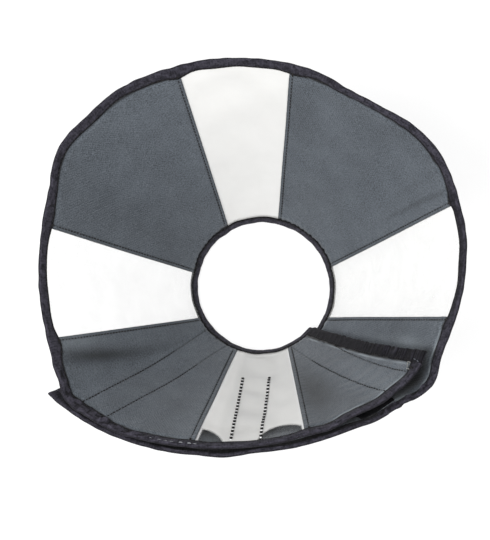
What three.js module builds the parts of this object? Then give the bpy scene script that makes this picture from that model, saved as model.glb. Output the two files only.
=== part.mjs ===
// Soft recovery cone: a fan of padded fabric panels and clear film windows, rolled into a cone
// that overlaps itself, bound with tape at the rim, the neck and both ends.
// Units are millimetres, +Z is up. The cone stands on its neck edge with its mouth upwards.
// A turn is an angle in degrees, counted clockwise seen from above, from +X. It runs past 360
// because the fan overlaps: the inner end is at the smallest turn and lies inside.
import * as THREE from 'three';

// The rolled wall
const neckRadius = 60;
const rimRadius = 168;
const wallLength = 235;

// Sheet goods
const panelThickness = 2.6;
const filmThickness = 1;
const loopThickness = 1.1;
const hookThickness = 1;
const bindingThickness = 0.8;
const footThickness = 1.2;
const clearance = 0.3;

// Widths and depths of what is sewn on
const hemDepth = 8;
const tuckGap = 2;
const bindingWidth = 8;
const endBindingWidth = 9;
const bindingStepStart = 3;
const bindingStepEnd = 10;
const loopWidth = 26;
const loopLength = 150;
const hookWidth = 31;
const hookLength = 110;

// Facets: the widest step round the wall, in degrees, and the rows from neck to rim
const widestStep = 6;
const wallRows = 6;

// What follows from the sizes above
const layerStep = panelThickness + loopThickness + hookThickness + 3 * clearance;
const neckEdge = footThickness + clearance + panelThickness / 4;
const hemTurn = degreesAtRim(hemDepth);
const tuckTurn = degreesAtRim(hemDepth - tuckGap);

// Ends and seams of the fan. bow is how far the middle of the line sags sideways, in degrees.
const seams = [
  { name: 'before the inner end', rimTurn: 22, neckTurn: 35, bow: 1.6 },
  { name: 'inner end', rimTurn: 30, neckTurn: 40, bow: 1.6 },
  { name: 'bottom window, right', rimTurn: 73.5, neckTurn: 66, bow: 0 },
  { name: 'bottom window, left', rimTurn: 107, neckTurn: 110.5, bow: 0 },
  { name: 'left window, lower', rimTurn: 158, neckTurn: 152.5, bow: 0 },
  { name: 'left window, upper', rimTurn: 188.5, neckTurn: 192.5, bow: 0 },
  { name: 'top window, left', rimTurn: 248.5, neckTurn: 241.5, bow: 0 },
  { name: 'top window, right', rimTurn: 281.5, neckTurn: 284.5, bow: 0 },
  { name: 'right window, upper', rimTurn: 346, neckTurn: 344.5, bow: 0 },
  { name: 'right window, lower', rimTurn: 377.5, neckTurn: 386, bow: 0 },
  { name: 'outer end', rimTurn: 507, neckTurn: 500, bow: 0 },
  { name: 'past the outer end', rimTurn: 513, neckTurn: 506, bow: 0 },
];

// Folds of the rim. reach is the distance from the axis as a share of rimRadius, before the
// outer layers are moved out, and cut is the length of the wall there as a share of wallLength.
const folds = [
  { name: 'before the inner end', rimTurn: 22, reach: 0.919, cut: 1 },
  { name: 'inner end', rimTurn: 30, reach: 0.932, cut: 1 },
  { name: 'flap belly', rimTurn: 37, reach: 0.949, cut: 1 },
  { name: 'flap', rimTurn: 48, reach: 0.918, cut: 1 },
  { name: 'flap dip', rimTurn: 55, reach: 0.899, cut: 1 },
  { name: 'flap hollow', rimTurn: 60, reach: 0.896, cut: 1 },
  { name: 'beside the window', rimTurn: 66, reach: 0.899, cut: 1 },
  { name: 'bottom window, right', rimTurn: 73.5, reach: 0.884, cut: 1 },
  { name: 'bottom window, middle', rimTurn: 89, reach: 0.905, cut: 1 },
  { name: 'bottom window, left', rimTurn: 107, reach: 0.939, cut: 1 },
  { name: 'lower left panel', rimTurn: 121, reach: 1, cut: 1 },
  { name: 'before the corner', rimTurn: 134, reach: 1.072, cut: 1 },
  { name: 'lower left corner', rimTurn: 142.5, reach: 1.113, cut: 1 },
  { name: 'past the corner', rimTurn: 147, reach: 1.089, cut: 1 },
  { name: 'left window, lower', rimTurn: 158, reach: 1.044, cut: 1 },
  { name: 'left window', rimTurn: 168, reach: 1.023, cut: 1 },
  { name: 'left window, middle', rimTurn: 179, reach: 1.012, cut: 1 },
  { name: 'left window, upper', rimTurn: 188.5, reach: 1.007, cut: 1 },
  { name: 'upper left panel', rimTurn: 198, reach: 1.018, cut: 1 },
  { name: 'upper left rise', rimTurn: 204.5, reach: 1.044, cut: 1 },
  { name: 'upper left corner', rimTurn: 211, reach: 1.058, cut: 1 },
  { name: 'past the upper corner', rimTurn: 220, reach: 1.041, cut: 1 },
  { name: 'upper left slope', rimTurn: 228, reach: 1.033, cut: 1 },
  { name: 'upper left panel, end', rimTurn: 236, reach: 1.014, cut: 1 },
  { name: 'top window, left', rimTurn: 248.5, reach: 0.967, cut: 1 },
  { name: 'top window, middle', rimTurn: 264, reach: 0.938, cut: 1 },
  { name: 'top window, end', rimTurn: 272, reach: 0.93, cut: 1 },
  { name: 'top window, right', rimTurn: 281.5, reach: 0.916, cut: 1 },
  { name: 'upper right panel', rimTurn: 294, reach: 0.892, cut: 1 },
  { name: 'upper right dip', rimTurn: 301, reach: 0.879, cut: 1 },
  { name: 'upper right rise', rimTurn: 312, reach: 0.905, cut: 1 },
  { name: 'upper right shoulder', rimTurn: 322, reach: 0.959, cut: 1 },
  { name: 'upper right corner', rimTurn: 333, reach: 0.982, cut: 1 },
  { name: 'right window, upper', rimTurn: 346, reach: 0.981, cut: 1 },
  { name: 'right window, belly', rimTurn: 353, reach: 0.984, cut: 1 },
  { name: 'right window, middle', rimTurn: 363, reach: 0.973, cut: 1 },
  { name: 'right window, lower', rimTurn: 377.5, reach: 0.9615, cut: 1 },
  { name: 'outer flap', rimTurn: 387, reach: 0.967, cut: 0.984 },
  { name: 'outer flap rise', rimTurn: 391, reach: 0.983, cut: 0.977 },
  { name: 'outer flap corner', rimTurn: 395, reach: 1.01, cut: 0.977 },
  { name: 'past the flap corner', rimTurn: 399, reach: 1.004, cut: 0.977 },
  { name: 'outer flap slope', rimTurn: 404, reach: 0.962, cut: 0.977 },
  { name: 'outer flap narrows', rimTurn: 409, reach: 0.933, cut: 0.977 },
  { name: 'outer flap, level', rimTurn: 416, reach: 0.934, cut: 0.977 },
  { name: 'behind the flap', rimTurn: 424, reach: 0.913, cut: 0.977 },
  { name: 'behind the window, right', rimTurn: 433.5, reach: 0.899, cut: 0.977 },
  { name: 'behind the window, middle', rimTurn: 449, reach: 0.907, cut: 0.977 },
  { name: 'behind the window, end', rimTurn: 458, reach: 0.934, cut: 0.977 },
  { name: 'behind the window, left', rimTurn: 467, reach: 0.948, cut: 0.977 },
  { name: 'behind the panel', rimTurn: 481, reach: 1.006, cut: 0.977 },
  { name: 'outer flap flare', rimTurn: 494, reach: 1.083, cut: 0.977 },
  { name: 'outer end', rimTurn: 507, reach: 1.157, cut: 0.977 },
  { name: 'past the outer end', rimTurn: 513, reach: 1.187, cut: 0.977 },
];

// Panels and windows in their order round the fan, each between two seams
const panels = [
  { name: 'front_flap_panel', from: 'inner end', to: 'bottom window, right' },
  { name: 'lower_left_panel', from: 'bottom window, left', to: 'left window, lower' },
  { name: 'upper_left_panel', from: 'left window, upper', to: 'top window, left' },
  { name: 'upper_right_panel', from: 'top window, right', to: 'right window, upper' },
  { name: 'outer_flap_panel', from: 'right window, lower', to: 'outer end' },
];
const windows = [
  { name: 'bottom_window', from: 'bottom window, right', to: 'bottom window, left' },
  { name: 'left_window', from: 'left window, lower', to: 'left window, upper' },
  { name: 'top_window', from: 'top window, left', to: 'top window, right' },
  { name: 'right_window', from: 'right window, upper', to: 'right window, lower' },
];

// Fastening strips. rimTurn is the middle of the strip at the rim, and skew how far its line
// would have turned at the neck.
const loopStrips = [
  { name: 'loop_strip_1', rimTurn: 41, skew: 10.6, on: panelThickness },
  { name: 'loop_strip_2', rimTurn: 92, skew: 0, on: filmThickness },
  { name: 'loop_strip_3', rimTurn: 136.5, skew: -5.6, on: panelThickness },
];
const hookStrip = { name: 'hook_strip', rimTurn: 410.1, skew: 4 };

const firstTurn = seamNamed('inner end').rimTurn;
const lastTurn = seamNamed('outer end').rimTurn;

// Colours from sight: slate nylon, charcoal tape with a purple cast, clear film, black strips
const nylon = new THREE.MeshStandardMaterial({ color: 0x5a626c, roughness: 0.85, metalness: 0 });
const tape = new THREE.MeshStandardMaterial({ color: 0x3a3842, roughness: 0.8, metalness: 0 });
const film = new THREE.MeshStandardMaterial({
  color: 0xf4f5f4, roughness: 0.2, metalness: 0, transparent: true, opacity: 0.35,
});
const strip = new THREE.MeshStandardMaterial({ color: 0x17171a, roughness: 0.95, metalness: 0 });

function degreesAtRim(length) {
  return THREE.MathUtils.radToDeg(length / rimRadius);
}

function seamNamed(name) {
  return seams.find((seam) => seam.name === name);
}

// Smooth value of one column of a table at a turn
function valueAt(table, column, turn) {
  const last = table.length - 1;
  let at = table.findIndex((row) => row.rimTurn > turn) - 1;
  if (at < 0) at = turn < table[0].rimTurn ? 0 : last - 1;
  const slope = (row) => {
    const before = table[Math.max(row - 1, 0)];
    const after = table[Math.min(row + 1, last)];
    return (after[column] - before[column]) / (after.rimTurn - before.rimTurn);
  };
  const width = table[at + 1].rimTurn - table[at].rimTurn;
  const s = (turn - table[at].rimTurn) / width;
  const rise = s * s * (3 - 2 * s);
  return table[at][column] * (1 - rise) + table[at + 1][column] * rise
    + slope(at) * width * s * (1 - s) * (1 - s)
    - slope(at + 1) * width * s * s * (1 - s);
}

function pointOnRing(turn, radius, height) {
  const angle = THREE.MathUtils.degToRad(-turn);
  return new THREE.Vector3(radius * Math.cos(angle), radius * Math.sin(angle), height);
}

// Middle of the wall before the layers are moved apart. share is 0 at the neck edge and 1 at
// the rim edge.
function middlePoint(turn, share) {
  const neck = pointOnRing(valueAt(seams, 'neckTurn', turn), neckRadius, neckEdge);
  const rim = pointOnRing(turn, valueAt(folds, 'reach', turn) * rimRadius, neckEdge);
  const outwards = rim.distanceTo(neck);
  rim.z += Math.sqrt(wallLength * wallLength - outwards * outwards);
  const point = neck.lerp(rim, share * valueAt(folds, 'cut', turn));
  const sag = valueAt(seams, 'bow', turn) * Math.sin(Math.PI * THREE.MathUtils.clamp(share, 0, 1));
  return point.applyAxisAngle(new THREE.Vector3(0, 0, 1), THREE.MathUtils.degToRad(-sag));
}

function wallNormal(turn, share) {
  const across = middlePoint(turn + 0.5, share).sub(middlePoint(turn - 0.5, share));
  const along = middlePoint(turn, share + 0.01).sub(middlePoint(turn, share - 0.01));
  return along.cross(across).normalize();
}

// 0 on the layer that lies inside, 1 where the wall lies behind that layer
function layerAt(turn) {
  const leaves = lastTurn - 360;
  const arrives = firstTurn + 360;
  return THREE.MathUtils.clamp((turn - leaves) / (arrives - leaves), 0, 1);
}

// A point of the rolled wall. level is the distance from the wall's middle, positive outwards.
function wallPoint(turn, share, level) {
  const normal = wallNormal(turn, share);
  const sideways = new THREE.Vector3(normal.x, normal.y, 0);
  const apart = layerStep * layerAt(turn) / sideways.lengthSq();
  return middlePoint(turn, share)
    .addScaledVector(sideways, apart)
    .addScaledVector(normal, level);
}

// Turns for a length round the wall at one height
function turnsFor(length, turn, share) {
  const degree = middlePoint(turn + 0.5, share).distanceTo(middlePoint(turn - 0.5, share));
  return length / degree;
}

function shareFor(length, turn) {
  return length / (wallLength * valueAt(folds, 'cut', turn));
}

// Turns from one to another through every fold and seam between them, with extra ones between
// where the step would be too wide
function stations(from, to, extras = []) {
  const nearest = 0.8;
  const fixed = [from, ...extras, to];
  const marks = [...seams, ...folds].map((row) => row.rimTurn)
    .filter((turn) => fixed.every((own) => Math.abs(own - turn) > nearest));
  const all = [...fixed, ...marks.filter((turn) => turn > from && turn < to)]
    .sort((a, b) => a - b)
    .filter((turn, at, list) => at === 0 || turn - list[at - 1] > 1e-6);
  const filled = [all[0]];
  for (const turn of all.slice(1)) {
    const start = filled.at(-1);
    const steps = Math.ceil((turn - start) / widestStep);
    for (let step = 1; step <= steps; step += 1) {
      filled.push(start + (turn - start) * step / steps);
    }
  }
  return filled;
}

// One closed body from a block of cells. solid says which cells are filled, corner gives the
// point at each corner of the block, and faces are made only where a filled cell meets an
// empty one, so bodies share their corners and have no inner faces.
function cellBody(columns, rows, layers, solid, corner) {
  const points = [];
  const triangles = [];
  const numbers = new Map();
  const filled = (i, j, k) => i >= 0 && i < columns && j >= 0 && j < rows
    && k >= 0 && k < layers && solid(i, j, k);
  const number = ([i, j, k]) => {
    const key = (i * (rows + 1) + j) * (layers + 1) + k;
    if (!numbers.has(key)) {
      numbers.set(key, points.length / 3);
      points.push(...corner(i, j, k).toArray());
    }
    return numbers.get(key);
  };
  const face = (...corners) => {
    const [a, b, c, d] = corners.map(number);
    triangles.push(a, b, c, a, c, d);
  };
  for (let i = 0; i < columns; i += 1) {
    for (let j = 0; j < rows; j += 1) {
      for (let k = 0; k < layers; k += 1) {
        if (!filled(i, j, k)) continue;
        const [x, y, z] = [i + 1, j + 1, k + 1];
        if (!filled(i, j, k + 1)) face([i, j, z], [i, y, z], [x, y, z], [x, j, z]);
        if (!filled(i, j, k - 1)) face([i, j, k], [x, j, k], [x, y, k], [i, y, k]);
        if (!filled(i + 1, j, k)) face([x, j, k], [x, j, z], [x, y, z], [x, y, k]);
        if (!filled(i - 1, j, k)) face([i, j, k], [i, y, k], [i, y, z], [i, j, z]);
        if (!filled(i, j + 1, k)) face([i, y, k], [x, y, k], [x, y, z], [i, y, z]);
        if (!filled(i, j - 1, k)) face([i, j, k], [i, j, z], [x, j, z], [x, j, k]);
      }
    }
  }
  const geometry = new THREE.BufferGeometry();
  geometry.setAttribute('position', new THREE.Float32BufferAttribute(points, 3));
  geometry.setIndex(triangles);
  geometry.computeVertexNormals();
  return geometry;
}

// A padded panel. Next to a window its edge is a hem of two leaves that hold the film.
function panelGeometry({ from, to }) {
  const start = seamNamed(from).rimTurn;
  const end = seamNamed(to).rimTurn;
  const hemmed = { start: from !== 'inner end', end: to !== 'outer end' };
  const extras = [];
  if (hemmed.start) extras.push(start + hemTurn);
  if (hemmed.end) extras.push(end - hemTurn);
  const turns = stations(start, end, extras);
  const slot = filmThickness / 2 + clearance;
  const levels = [-panelThickness / 2, -slot, slot, panelThickness / 2];
  const inHem = (i) => (hemmed.start && turns[i + 1] <= start + hemTurn + 1e-6)
    || (hemmed.end && turns[i] >= end - hemTurn - 1e-6);
  return cellBody(turns.length - 1, wallRows, 3,
    (i, j, k) => k !== 1 || !inHem(i),
    (i, j, k) => wallPoint(turns[i], j / wallRows, levels[k]));
}

// A sheet of clear film, with its side edges tucked into the hems of the panels beside it
function windowGeometry({ from, to }) {
  const start = seamNamed(from).rimTurn;
  const end = seamNamed(to).rimTurn;
  const turns = stations(start - tuckTurn, end + tuckTurn, [start, end]);
  return cellBody(turns.length - 1, wallRows, 1, () => true,
    (i, j, k) => wallPoint(turns[i], j / wallRows, (k - 0.5) * filmThickness));
}

// How far a turn is inside a window, 0 on the panels and 1 on the film
function windowShare(turn) {
  const rises = windows.map(({ from, to }) => {
    const inside = Math.min(turn - seamNamed(from).rimTurn, seamNamed(to).rimTurn - turn);
    return THREE.MathUtils.smoothstep(inside,
      degreesAtRim(bindingStepStart), degreesAtRim(bindingStepEnd));
  });
  return Math.max(...rises);
}

// Half the space between the two legs of a binding
function bindingSpace(turn) {
  const thickness = THREE.MathUtils.lerp(panelThickness, filmThickness, windowShare(turn));
  return thickness / 2 + clearance;
}

// Stations of a tape along the fan. It closes round the outer end, and it either closes round
// the inner end too or starts from the side of the tape there.
function bindingStations(share, closesBoth) {
  const startGap = turnsFor(clearance, firstTurn, share);
  const endGap = turnsFor(clearance, lastTurn, share);
  const cap = bindingThickness / clearance;
  const beside = firstTurn + turnsFor(endBindingWidth + clearance, firstTurn, share);
  const starts = closesBoth
    ? [firstTurn - startGap * (1 + cap), firstTurn - startGap]
    : [beside];
  const steps = windows.flatMap(({ from, to }) => [bindingStepStart, bindingStepEnd]
    .flatMap((length) => [
      seamNamed(from).rimTurn + degreesAtRim(length),
      seamNamed(to).rimTurn - degreesAtRim(length),
    ]));
  return [
    ...starts.slice(0, -1),
    ...stations(starts.at(-1), lastTurn + endGap, steps),
    lastTurn + endGap * (1 + cap),
  ];
}

// Tape folded over the rim: two legs and a web, closed at the outer end of the fan
function rimBindingGeometry() {
  const turns = bindingStations(1, false);
  const columns = turns.length - 1;
  return cellBody(columns, 2, 3,
    (i, j, k) => j === 1 || k !== 1 || i === columns - 1,
    (i, j, k) => {
      const turn = turns[i];
      const space = bindingSpace(turn);
      const outside = space + bindingThickness;
      const lengths = [-bindingWidth, clearance, clearance + bindingThickness];
      return wallPoint(turn, 1 + shareFor(lengths[j], turn), [-outside, -space, space, outside][k]);
    });
}

// Tape folded under the neck edge, with a flat foot that the cone stands on
function neckBindingGeometry() {
  const turns = bindingStations(0, true);
  const columns = turns.length - 1;
  return cellBody(columns, 2, 3,
    (i, j, k) => j === 0 || k !== 1 || i === 0 || i === columns - 1,
    (i, j, k) => {
      const turn = turns[i];
      const space = bindingSpace(turn);
      const outside = space + bindingThickness;
      const level = [-outside, -space, space, outside][k];
      if (j === 0) {
        const foot = wallPoint(turn, 0, level);
        const rising = wallPoint(turn, 0.05, level).sub(foot);
        foot.addScaledVector(rising, -foot.z / rising.z);
        foot.z = 0;
        return foot;
      }
      const length = j === 1 ? -clearance : bindingWidth;
      return wallPoint(turn, shareFor(length, turn), level);
    });
}

// Tape folded round one end of the fan, upwards from the neck tape. into is +1 where the fan
// lies at greater turns than the end, and -1 where it lies at smaller ones. It either closes
// over the rim or stops below the rim tape.
function endBindingGeometry(endTurn, into, closesOverRim) {
  const space = panelThickness / 2 + clearance;
  const outside = space + bindingThickness;
  const levels = [-outside, -space, space, outside];
  const low = shareFor(bindingWidth + clearance, endTurn);
  const high = closesOverRim ? 1 + shareFor(clearance, endTurn) : 1 - low;
  const shares = [low];
  for (let row = 1; row < wallRows; row += 1) shares.push(row / wallRows);
  shares.push(high);
  if (closesOverRim) shares.push(high + shareFor(bindingThickness, endTurn));
  const lengths = into > 0
    ? [-clearance - bindingThickness, -clearance, endBindingWidth / 2, endBindingWidth]
    : [-endBindingWidth, -endBindingWidth / 2, clearance, clearance + bindingThickness];
  const columns = lengths.length - 1;
  const web = into > 0 ? 0 : columns - 1;
  return cellBody(columns, shares.length - 1, 3,
    (i, j, k) => i === web || k !== 1 || j === wallRows,
    (i, j, k) => {
      const turns = turnsFor(lengths[i], endTurn, Math.min(shares[j], 1));
      return wallPoint(endTurn + turns, shares[j], levels[k]);
    });
}

// A flat strip that runs down the wall from just inside the rim tape
function stripGeometry({ rimTurn, skew }, width, length, fromLevel, toLevel) {
  const columns = 4;
  const rows = 5;
  const top = 1 - shareFor(bindingWidth + 2 * clearance, rimTurn);
  const bottom = top - shareFor(length, rimTurn);
  return cellBody(columns, rows, 1, () => true,
    (i, j, k) => {
      const share = THREE.MathUtils.lerp(bottom, top, j / rows);
      const middle = rimTurn + skew * (1 - share);
      const turn = middle + turnsFor(width, middle, share) * (i / columns - 0.5);
      return wallPoint(turn, share, k === 0 ? fromLevel : toLevel);
    });
}

const cone = new THREE.Group();

function add(name, geometry, material) {
  const mesh = new THREE.Mesh(geometry, material);
  mesh.name = name;
  cone.add(mesh);
}

for (const panel of panels) add(panel.name, panelGeometry(panel), nylon);
for (const pane of windows) add(pane.name, windowGeometry(pane), film);
add('rim_binding', rimBindingGeometry(), tape);
add('neck_binding', neckBindingGeometry(), tape);
add('inner_end_binding', endBindingGeometry(firstTurn, 1, true), tape);
add('outer_end_binding', endBindingGeometry(lastTurn, -1, false), tape);

// Loop strips are sewn to the back of the inner layer, the hook strip to the face behind it
for (const loop of loopStrips) {
  const back = loop.on / 2 + clearance;
  add(loop.name, stripGeometry(loop, loopWidth, loopLength, back, back + loopThickness), strip);
}
const front = -panelThickness / 2 - clearance;
add(hookStrip.name,
  stripGeometry(hookStrip, hookWidth, hookLength, front - hookThickness, front), strip);

export default cone;
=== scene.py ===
import math

import bpy
import numpy as np
from mathutils import Matrix, Vector


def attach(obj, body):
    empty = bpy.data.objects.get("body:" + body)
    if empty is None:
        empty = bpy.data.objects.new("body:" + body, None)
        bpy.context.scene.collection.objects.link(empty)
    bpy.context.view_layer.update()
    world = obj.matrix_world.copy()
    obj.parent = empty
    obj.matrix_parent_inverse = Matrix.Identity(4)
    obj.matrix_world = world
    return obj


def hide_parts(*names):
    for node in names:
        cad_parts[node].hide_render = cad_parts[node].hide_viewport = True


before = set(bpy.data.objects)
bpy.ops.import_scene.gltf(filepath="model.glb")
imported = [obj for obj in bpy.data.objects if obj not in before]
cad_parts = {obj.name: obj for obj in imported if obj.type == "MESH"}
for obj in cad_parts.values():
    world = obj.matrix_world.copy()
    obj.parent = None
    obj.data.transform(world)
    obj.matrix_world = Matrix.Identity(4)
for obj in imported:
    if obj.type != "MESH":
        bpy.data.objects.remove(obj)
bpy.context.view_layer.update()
print("frame loaded,", len(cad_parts), "nodes")

# Soft recovery cone: a fan of padded panels and film windows, rolled so that its ends overlap.
# Lengths are metres. A turn is an angle in degrees, clockwise from +X seen from above. It runs
# past 360 because the fan overlaps itself, and a share runs from 0 at the neck to 1 at the rim.

wall = {
    "neckRadius": 0.060,
    "rimRadius": 0.168,
    "length": 0.235,
    "panelThickness": 0.0026,
    "filmThickness": 0.0010,
    "loopThickness": 0.0011,
    "hookThickness": 0.0010,
    "footThickness": 0.0012,
    "clearance": 0.0003,
}
wall["layerStep"] = (wall["panelThickness"] + wall["loopThickness"] + wall["hookThickness"]
                     + 3 * wall["clearance"])
wall["neckEdge"] = wall["footThickness"] + wall["clearance"] + wall["panelThickness"] / 4


def namedTable(columns, rows):
    return {name: np.array([row[at] for row in rows], float) for at, name in enumerate(columns)}


# where each seam meets the rim and the neck, and how far its middle sags sideways, in degrees
seamTurns = {
    "before the inner end": (22, 35, 1.6),
    "inner end": (30, 40, 1.6),
    "bottom window, right": (73.5, 66, 0),
    "bottom window, left": (107, 110.5, 0),
    "left window, lower": (158, 152.5, 0),
    "left window, upper": (188.5, 192.5, 0),
    "top window, left": (248.5, 241.5, 0),
    "top window, right": (281.5, 284.5, 0),
    "right window, upper": (346, 344.5, 0),
    "right window, lower": (377.5, 386, 0),
    "outer end": (507, 500, 0),
    "past the outer end": (513, 506, 0),
}
seams = namedTable(("rimTurn", "neckTurn", "bow"), list(seamTurns.values()))

# the rim's distance from the axis as a share of its radius, and the length of the wall there
folds = namedTable(("rimTurn", "reach", "cut"), [
    (22, 0.919, 1),
    (30, 0.932, 1),  # inner end
    (37, 0.949, 1),
    (48, 0.918, 1),
    (55, 0.899, 1),
    (60, 0.896, 1),
    (66, 0.899, 1),
    (73.5, 0.884, 1),  # bottom window, right
    (89, 0.905, 1),
    (107, 0.939, 1),  # bottom window, left
    (121, 1, 1),
    (134, 1.072, 1),
    (142.5, 1.113, 1),  # lower left corner
    (147, 1.089, 1),
    (158, 1.044, 1),  # left window, lower
    (168, 1.023, 1),
    (179, 1.012, 1),
    (188.5, 1.007, 1),  # left window, upper
    (198, 1.018, 1),
    (204.5, 1.044, 1),
    (211, 1.058, 1),  # upper left corner
    (220, 1.041, 1),
    (228, 1.033, 1),
    (236, 1.014, 1),
    (248.5, 0.967, 1),  # top window, left
    (264, 0.938, 1),
    (272, 0.93, 1),
    (281.5, 0.916, 1),  # top window, right
    (294, 0.892, 1),
    (301, 0.879, 1),  # upper right dip
    (312, 0.905, 1),
    (322, 0.959, 1),
    (333, 0.982, 1),  # upper right corner
    (346, 0.981, 1),  # right window, upper
    (353, 0.984, 1),
    (363, 0.973, 1),
    (377.5, 0.9615, 1),  # right window, lower
    (387, 0.967, 0.984),
    (391, 0.983, 0.977),
    (395, 1.01, 0.977),  # outer flap corner
    (399, 1.004, 0.977),
    (404, 0.962, 0.977),
    (409, 0.933, 0.977),
    (416, 0.934, 0.977),
    (424, 0.913, 0.977),
    (433.5, 0.899, 0.977),
    (449, 0.907, 0.977),
    (458, 0.934, 0.977),
    (467, 0.948, 0.977),
    (481, 1.006, 0.977),
    (494, 1.083, 0.977),
    (507, 1.157, 0.977),  # outer end
    (513, 1.187, 0.977),
])

panels = {
    "front_flap_panel": ("inner end", "bottom window, right"),
    "lower_left_panel": ("bottom window, left", "left window, lower"),
    "upper_left_panel": ("left window, upper", "top window, left"),
    "upper_right_panel": ("top window, right", "right window, upper"),
    "outer_flap_panel": ("right window, lower", "outer end"),
}
windows = {
    "bottom_window": ("bottom window, right", "bottom window, left"),
    "left_window": ("left window, lower", "left window, upper"),
    "top_window": ("top window, left", "top window, right"),
    "right_window": ("right window, upper", "right window, lower"),
}
freeEnds = ("inner end", "outer end")
firstTurn = seamTurns["inner end"][0]
lastTurn = seamTurns["outer end"][0]


def smooth(value, low, high):
    s = np.clip((value - low) / (high - low), 0, 1)
    return s * s * (3 - 2 * s)


def hill(value, width):
    return np.exp(-(value / width) ** 2)


# Smooth seeded noise, about -1.5 to 1.5
def softNoise(seed, x, y, wavelength, waves=8):
    pick = np.random.default_rng(seed)
    total = 0
    for _ in range(waves):
        heading = pick.uniform(0, 2 * math.pi)
        phase = pick.uniform(0, 2 * math.pi)
        rate = 2 * math.pi / (wavelength * pick.uniform(0.7, 1.6))
        total = total + np.sin(rate * (x * math.cos(heading) + y * math.sin(heading)) + phase)
    return total / math.sqrt(waves / 2)


def valueAt(table, column, turn):
    turns = table["rimTurn"]
    values = table[column]
    last = len(turns) - 1
    at = np.clip(np.searchsorted(turns, turn, side="right") - 1, 0, last - 1)
    before = np.maximum(np.arange(last + 1) - 1, 0)
    after = np.minimum(np.arange(last + 1) + 1, last)
    slopes = (values[after] - values[before]) / (turns[after] - turns[before])
    width = turns[at + 1] - turns[at]
    s = (turn - turns[at]) / width
    rise = s * s * (3 - 2 * s)
    return (values[at] * (1 - rise) + values[at + 1] * rise
            + slopes[at] * width * s * (1 - s) ** 2 - slopes[at + 1] * width * s * s * (1 - s))


def ring(turn, radius, height):
    angle = -np.radians(turn)
    return np.stack([radius * np.cos(angle), radius * np.sin(angle), height + 0 * turn], axis=-1)


# The middle of the wall before its layers are moved apart
def middlePoint(turn, share):
    turn, share = np.broadcast_arrays(np.asarray(turn, float), np.asarray(share, float))
    neck = ring(valueAt(seams, "neckTurn", turn), wall["neckRadius"], wall["neckEdge"])
    rim = ring(turn, valueAt(folds, "reach", turn) * wall["rimRadius"], wall["neckEdge"])
    outwards = np.linalg.norm(rim - neck, axis=-1)
    rim[..., 2] += np.sqrt(wall["length"] ** 2 - outwards ** 2)
    point = neck + (rim - neck) * (share * valueAt(folds, "cut", turn))[..., None]
    sag = -np.radians(valueAt(seams, "bow", turn) * np.sin(np.pi * np.clip(share, 0, 1)))
    x = point[..., 0] * np.cos(sag) - point[..., 1] * np.sin(sag)
    y = point[..., 0] * np.sin(sag) + point[..., 1] * np.cos(sag)
    return np.stack([x, y, point[..., 2]], axis=-1)


def wallNormal(turn, share):
    across = middlePoint(turn + 0.5, share) - middlePoint(turn - 0.5, share)
    along = middlePoint(turn, share + 0.01) - middlePoint(turn, share - 0.01)
    normal = np.cross(along, across)
    return normal / np.linalg.norm(normal, axis=-1, keepdims=True)


# 0 on the layer that lies inside, 1 where the wall lies behind that layer
def layerAt(turn):
    leaves = lastTurn - 360
    arrives = firstTurn + 360
    return np.clip((turn - leaves) / (arrives - leaves), 0, 1)


def degreeLength(turn, share):
    return np.linalg.norm(middlePoint(turn + 0.5, share) - middlePoint(turn - 0.5, share), axis=-1)


def degreesAtRim(length):
    return math.degrees(length / wall["rimRadius"])


def shareFor(length, turn):
    return length / (wall["length"] * valueAt(folds, "cut", turn))


# Soft dents of the whole wall, which every piece on it follows
dents = {
    "wave": 0.0007,  # height of the slow waves
    "waveLength": 0.07,
    "flapRipple": 0.00026,  # height of the short ripples across the front flap
    "flapRippleLength": 0.019,
    "freeEdge": 0.0011,  # flutter of the outer flap where nothing lies on it
    "freeEdgeLength": 0.045,
    # turn at the rim, how far it has turned at the neck, share, width in turns, width in
    # shares, depth outwards
    "folds": [
        (155.5, -12.8, 0.75, 2.8, 0.38, -0.0018),
        (149.5, -12.8, 0.75, 3.2, 0.38, 0.0010),
        (342, -7, 0.80, 1.6, 0.30, 0.0008),
        (140, 0, 0.75, 4.5, 0.4, -0.0008),
        (222, 0, 0.8, 8, 0.4, -0.0012),
        (320, 0, 0.75, 7, 0.4, -0.0012),
        (331, 0, 0.7, 5, 0.35, 0.0012),
        (390, 0, 0.85, 4, 0.3, 0.0010),
        (141, 0, 1.0, 5.5, 0.25, 0.0022),
        (129.5, 0, 1.0, 6.5, 0.25, 0.0019),
        (49, 0, 1.0, 4, 0.25, 0.0010),
    ],
}


def dentAt(turn, share):
    angle = -np.radians(turn)
    radius = wall["neckRadius"] + (wall["rimRadius"] - wall["neckRadius"]) * share
    x = radius * np.cos(angle)
    y = radius * np.sin(angle)
    up = smooth(share, 0.05, 0.5)
    total = dents["wave"] * softNoise(11, x, y, dents["waveLength"]) * up
    for rimTurn, skew, height, turns, shares, depth in dents["folds"]:
        away = turn - rimTurn - skew * (1 - share)
        total = total + depth * hill(away, turns) * hill(share - height, shares) * up
    onFlap = smooth(turn, 33, 38) * (1 - smooth(turn, 50, 60))
    along = share * wall["length"]
    drift = 1.3 * softNoise(5, x, y, 0.05)
    ripple = np.sin(2 * np.pi * along / dents["flapRippleLength"] + drift + 0.1 * turn) - 1
    total = total + dents["flapRipple"] * ripple * onFlap * smooth(share, 0.3, 0.6)
    free = smooth(turn, 380, 388) * (1 - smooth(turn, 414, 424))
    flutter = 1 + softNoise(23, turn * 0.0029, along * 0.4, dents["freeEdgeLength"])
    return total + dents["freeEdge"] * flutter * free * smooth(share, 0.5, 1)


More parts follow.
